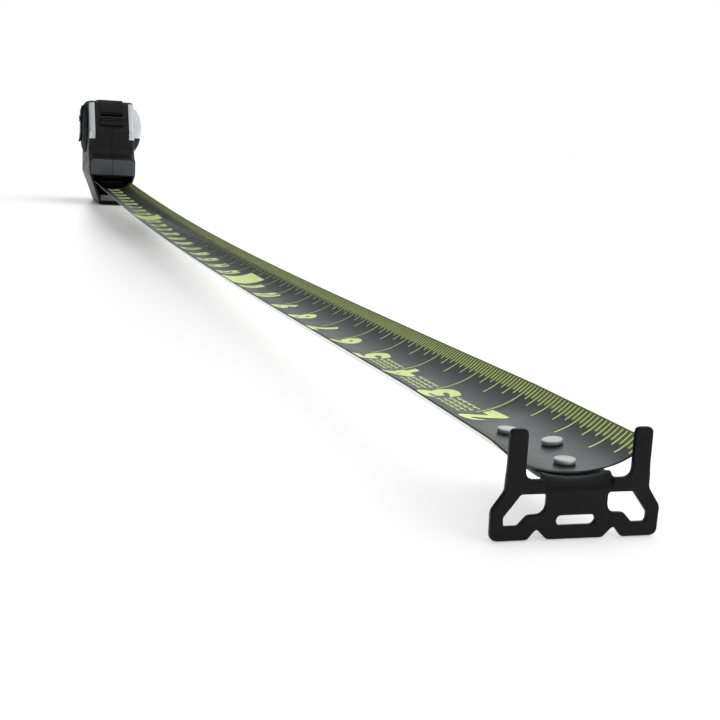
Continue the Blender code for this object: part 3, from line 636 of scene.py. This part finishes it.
def print_digit(bm, digit, near_x, v0, width, height):
    """A digit that reads from the graduated edge: its left side at near_x, its foot at v0."""
    flat = bmesh.new()
    flat.from_mesh(GLYPHS[digit])
    cuts = max(2, math.ceil(height / (1.2 * MM)))
    for k in range(1, cuts):
        geometry = flat.verts[:] + flat.edges[:] + flat.faces[:]
        bmesh.ops.bisect_plane(flat, geom=geometry, plane_co=(0, k / cuts, 0), plane_no=(0, 1, 0))
    flat.verts.index_update()
    placed = {}
    for vertex in flat.verts:
        x = near_x - vertex.co.x * width
        placed[vertex.index] = bm.verts.new(printed(x, v0 + vertex.co.y * height))
    for face in flat.faces:
        bm.faces.new([placed[v.index] for v in face.verts])
    flat.free()


def digit_width(digit, width):
    return width * (NARROW_ONE if digit == "1" else 1.0)


def number_width(number, width):
    """Length of a number along the blade."""
    digits = str(number)
    return sum(digit_width(digit, width) for digit in digits) + DIGIT_GAP * (len(digits) - 1)


def print_number(bm, number, near_x, width):
    """A number that starts at near_x and runs towards the case."""
    for digit in str(number):
        own_width = digit_width(digit, width)
        print_digit(bm, digit, near_x, NUMERAL_START, own_width, NUMERAL_HEIGHT)
        near_x -= own_width + DIGIT_GAP


def print_inches(bm, first, last, start_x, end_x):
    """Ticks and numerals between two inches, kept between start_x and end_x."""
    for sixteenth in range(first * 16, last * 16 + 1):
        x = ZERO_X - sixteenth * INCH / 16
        if not start_x < x < end_x:
            continue
        for divisions, length in TICKS:
            if sixteenth % (16 // divisions) == 0:
                reach = length * MM
        if sixteenth == 16:
            reach = FIRST_INCH_LINE
        print_patch(bm, x - LINE_WIDTH / 2, x + LINE_WIDTH / 2, TICK_START, reach)
    for number in range(max(2, first), last + 1):
        if number < 10:
            width = NUMERAL_WIDTH
            near_x = ZERO_X - (number - NUMERAL_LEAD) * INCH
        else:
            width = PAIR_WIDTH
            near_x = ZERO_X - number * INCH + number_width(number, width) / 2
        if start_x < near_x < end_x:
            print_number(bm, number, near_x, width)


def print_feet(bm):
    """Solid blocks that mark whole feet."""
    for feet in (1, 2):
        far_x = ZERO_X - (feet * 12 + FOOT_BLOCK_LEAD) * INCH
        print_patch(bm, far_x, far_x + INCH, FOOT_BLOCK_START, FOOT_BLOCK_END)


def print_dashes(bm):
    """Rows of short strokes after the second, third and fourth inch, in place of small lettering."""
    for number in DASH_INCHES:
        for row in range(DASH_ROWS):
            foot = DASH_START + DASH_PITCH * row
            for k in range(DASHES):
                start = ZERO_X - number * INCH - DASH_LEAD - DASH_PITCH * k
                head = foot + DASH_HEIGHTS[(k + row) % 2]
                print_patch(bm, start - DASH_LENGTH, start, foot, head)


def blade_print():
    """The print on the strip, which it returns, and the print on the tip."""
    bm = bmesh.new()
    print_inches(bm, 1, LAST_INCH, NOSE_X + 1 * MM, TIP_X - 0.7 * MM)
    print_feet(bm)
    print_dashes(bm)
    long_print = new_object("blade_print", bm, "print", "case")
    bm = bmesh.new()
    print_inches(bm, 0, 2, TIP_X - 0.1 * MM, BLADE_END - 0.6 * MM)
    new_object("blade_tip_print", bm, "print", "blade_end")
    return long_print


# Hook, rivets, screws ---------------------------------------------------------------------------


def section_frame(back, s):
    """A frame on the tip's upper face with its own Z along the normal."""
    inside = max(0.0, 1 - (s / LIFT_HALF) ** 2)
    slope = s / BLADE_RADIUS - 4 * TIP_LIFT * inside * s / LIFT_HALF**2
    place = blade_point(HOOK_X - back, s, 0.0, 1.0, VALLEY_Z)
    return Matrix.Translation(place) @ Matrix.Rotation(slope, 4, "X")


def rivet(k, back, s):
    """A flat-headed rivet with a rolled rim."""
    under = -1.85 * MM  # top of the lower head
    bm = bmesh.new()
    levels = (
        (1.2 * MM, under - 0.45 * MM),
        (1.7 * MM, under - 0.38 * MM),
        (1.95 * MM, under - 0.15 * MM),
        (1.9 * MM, under),
        (1.2 * MM, under),
        (1.2 * MM, 0.2 * MM),
        (1.9 * MM, 0.2 * MM),
        (2.0 * MM, 0.35 * MM),
        (2.0 * MM, 0.78 * MM),
        (1.93 * MM, 0.92 * MM),
        (1.78 * MM, 0.99 * MM),
        (1.5 * MM, 1.0 * MM),
        (1.2 * MM, 0.985 * MM),
    )
    lathe(bm, levels, section_frame(back * MM, s * MM), 56)
    bmesh.ops.recalc_face_normals(bm, faces=bm.faces)
    obj = new_object(f"rivet_{k}", bm, "rivet", "blade_end")
    shade(obj, 40)
    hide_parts(f"hook_rivet_{k}")


def cross_recess(obj, centre, out, radius):
    """Cuts a cross into a screw head."""
    for turn in (0, 90):
        bm = bmesh.new()
        bmesh.ops.create_cube(bm, size=1.0)
        size = Matrix.Diagonal((radius * 1.5, radius * 0.28, RECESS_DEPTH * 2, 1))
        turned = out @ Matrix.Rotation(math.radians(turn + RECESS_TURN), 4, "Z")
        place = Matrix.Translation(centre) @ turned @ size
        bmesh.ops.transform(bm, matrix=place, verts=bm.verts)
        tool = add_object("recess", mesh_of(bm, "recess"))
        modifier = obj.modifiers.new("recess", "BOOLEAN")
        modifier.object = tool
        modifier.operation = "DIFFERENCE"
        cut = evaluated_mesh(obj)
        obj.modifiers.clear()
        obj.data = cut
        bpy.data.objects.remove(tool)


def screw(node, look, levels):
    """A screw with a cross recess, its head towards -Y, from (radius, y) levels in mm."""
    low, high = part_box(node)
    x, z = (low.x + high.x) / 2, (low.z + high.z) / 2
    to_left = Matrix.Rotation(math.radians(90), 4, "X")
    place = Matrix.Translation((x, 0, z)) @ to_left
    bm = bmesh.new()
    lathe(bm, [(r * MM, -y * MM) for r, y in levels], place, 40)
    bmesh.ops.recalc_face_normals(bm, faces=bm.faces)
    obj = new_object(f"{node}_turned", bm, look, "case")
    top = levels[-1][1] * MM
    cross_recess(obj, Vector((x, top, z)), to_left, max(r for r, _ in levels) * MM)
    shade(obj, 35)
    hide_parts(node)


def screws():
    """The four threaded case screws and the belt clip's screw."""
    case_levels = [(0.3, 12.0), (1.25, 10.6)]
    for k in range(26):
        case_levels += [(1.25, 10.0 - k), (1.0, 9.5 - k)]
    case_levels += [(1.25, -16.4), (2.2, -16.5), (2.3, -16.7)]
    case_levels += [(2.3, -17.5), (2.15, -17.85), (1.8, -18.0)]
    for k in range(1, 5):
        screw(f"case_screw_{k}", "steel", case_levels)
    clip_levels = [(1.0, -16.9), (1.25, -17.3), (1.25, -23.0), (2.7, -23.0), (2.8, -23.15)]
    clip_levels += [(2.7, -23.45), (2.3, -23.68), (1.7, -23.8)]
    screw("clip_screw", "black_steel", clip_levels)


def nose_panel(shell):
    """Gives the front of the nose, above the mouth, its lighter finish."""
    bm = bmesh.new()
    bm.from_mesh(shell.data)
    front = [face for face in bm.faces if face.calc_center_median().x > NOSE_FRONT]
    geometry = front + list({edge for face in front for edge in face.edges})
    geometry += list({vertex for face in front for vertex in face.verts})
    bmesh.ops.bisect_plane(bm, geom=geometry, plane_co=(0, 0, PANEL_LOW), plane_no=(0, 0, 1))
    for face in bm.faces:
        middle = face.calc_center_median()
        if middle.x > NOSE_FRONT and middle.z > PANEL_LOW:
            face.material_index = 1
    bm.to_mesh(shell.data)
    bm.free()
    shell.data.materials.append(LOOKS["nose_panel"])


def coated_hook():
    """The hook with its bend flush with its plate and every edge rounded over by its thick coating."""
    hook = refined("end_hook", "black_steel", "hook", 0.14 * MM, 2)
    hook.modifiers.clear()
    for vertex in hook.data.vertices:
        if BEND_STEP[0] < HOOK_X - vertex.co.x < BEND_STEP[1]:
            vertex.co.x = HOOK_X
    coat = hook.modifiers.new("coat", "REMESH")
    coat.mode = "VOXEL"
    coat.voxel_size = COAT_GRAIN
    coat.use_smooth_shade = True
    soften = hook.modifiers.new("soften", "SMOOTH")
    soften.factor = 0.5
    soften.iterations = 8


def pieces_from_cad():
    """The pieces made from CAD nodes, and the hidden nodes that stay as they are."""
    for side in ("left", "right"):
        nose_panel(refined(f"case_shell_{side}", "black_shell", "case", 0.22 * MM))
    for node, look, body, slot, width in REFINED:
        refined(node, look, body, width * MM)
    coated_hook()
    for node, look in KEPT.items():
        keep_node(node, look)


# Setting ----------------------------------------------------------------------------------------


def floor():
    """A plain pale floor just under the tape."""
    bm = bmesh.new()
    bmesh.ops.create_grid(bm, x_segments=2, y_segments=2, size=FLOOR_SIZE)
    obj = add_object("floor", mesh_of(bm, "floor"))
    obj.location = (0, 0, -FLOOR_DROP)
    obj.data.materials.append(new_material("floor_look", (0.92, 0.92, 0.92), 0.9, specular=0.1))


def low_lights():
    """A tall narrow light behind the case, in four parts, for its long soft shadow. It has no glint.

    Only the case's pieces shade it.
    """
    shading = bpy.data.collections.new("shading_pieces")
    for piece in bpy.context.scene.objects:
        if piece.name.startswith(SHADING_PIECES):
            shading.objects.link(piece)
    for k, degrees in enumerate(LOW_LIGHT_HEIGHTS):
        height = math.radians(degrees)
        light = bpy.data.lights.new(f"low_light_{k}", "SUN")
        light.energy = LOW_LIGHT / math.sin(height)
        light.angle = math.radians(LOW_LIGHT_SPREAD)
        obj = add_object(f"low_light_{k}", light)
        towards = Vector((1.0, LOW_LIGHT_TURN, -math.tan(height)))
        obj.rotation_euler = towards.to_track_quat("-Z", "Y").to_euler()
        obj.visible_glossy = False
        obj.light_linking.blocker_collection = shading


def studio_world():
    """White to the camera. For light, a bright ceiling over darker walls, lighter on the +Y side."""
    world = bpy.data.worlds.new("studio")
    bpy.context.scene.world = world
    world.use_nodes = True
    tree = world.node_tree
    background = tree.nodes["Background"]
    background.inputs["Color"].default_value = (1.0, 1.0, 1.0, 1.0)
    place = tree.nodes.new("ShaderNodeTexCoord")
    split = tree.nodes.new("ShaderNodeSeparateXYZ")
    height = map_range(tree, WALL_LIGHT, CEILING_LIGHT, *CEILING_RISE)
    side = map_range(tree, 0.0, SIDE_LIGHT, *SIDE_RISE)
    for ramp in (height, side):
        ramp.interpolation_type = "SMOOTHSTEP"
    both = tree.nodes.new("ShaderNodeMath")
    path = tree.nodes.new("ShaderNodeLightPath")
    choose = tree.nodes.new("ShaderNodeMix")
    choose.inputs[3].default_value = 1.0
    tree.links.new(place.outputs["Generated"], split.inputs["Vector"])
    tree.links.new(split.outputs["Z"], height.inputs["Value"])
    tree.links.new(split.outputs["Y"], side.inputs["Value"])
    tree.links.new(height.outputs["Result"], both.inputs[0])
    tree.links.new(side.outputs["Result"], both.inputs[1])
    tree.links.new(path.outputs["Is Camera Ray"], choose.inputs[0])
    tree.links.new(both.outputs[0], choose.inputs[2])
    tree.links.new(choose.outputs[0], background.inputs["Strength"])


def lighting():
    """The surroundings, the low light and a plain view transform."""
    studio_world()
    low_lights()
    view = bpy.context.scene.view_settings
    view.view_transform = "Standard"
    view.look = "None"
    view.exposure = 0.0
    view.gamma = 1.0


def camera():
    """The camera beyond the hook, looking back along the blade."""
    data = bpy.data.cameras.new("camera")
    obj = add_object("camera", data)
    turn = Matrix((CAMERA_RIGHT, -CAMERA_DOWN, -CAMERA_FORWARD)).transposed()
    obj.matrix_world = Matrix.Translation(CAMERA_PLACE) @ turn.to_4x4()
    data.lens = CAMERA_LENS
    data.sensor_width = 36.0
    data.clip_start = 0.005
    data.clip_end = 50.0
    bpy.context.scene.camera = obj


def wind_in(obj):
    """Gives a long piece of the blade its own copy of its mesh.
    """
    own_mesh(obj)


# Scene ------------------------------------------------------------------------------------------

camera()
floor()
pieces_from_cad()
for index, (back, s) in enumerate(RIVETS):
    rivet(index + 1, back, s)
screws()
tip_blade()
wind_in(extended_blade())
wind_in(blade_print())
lighting()
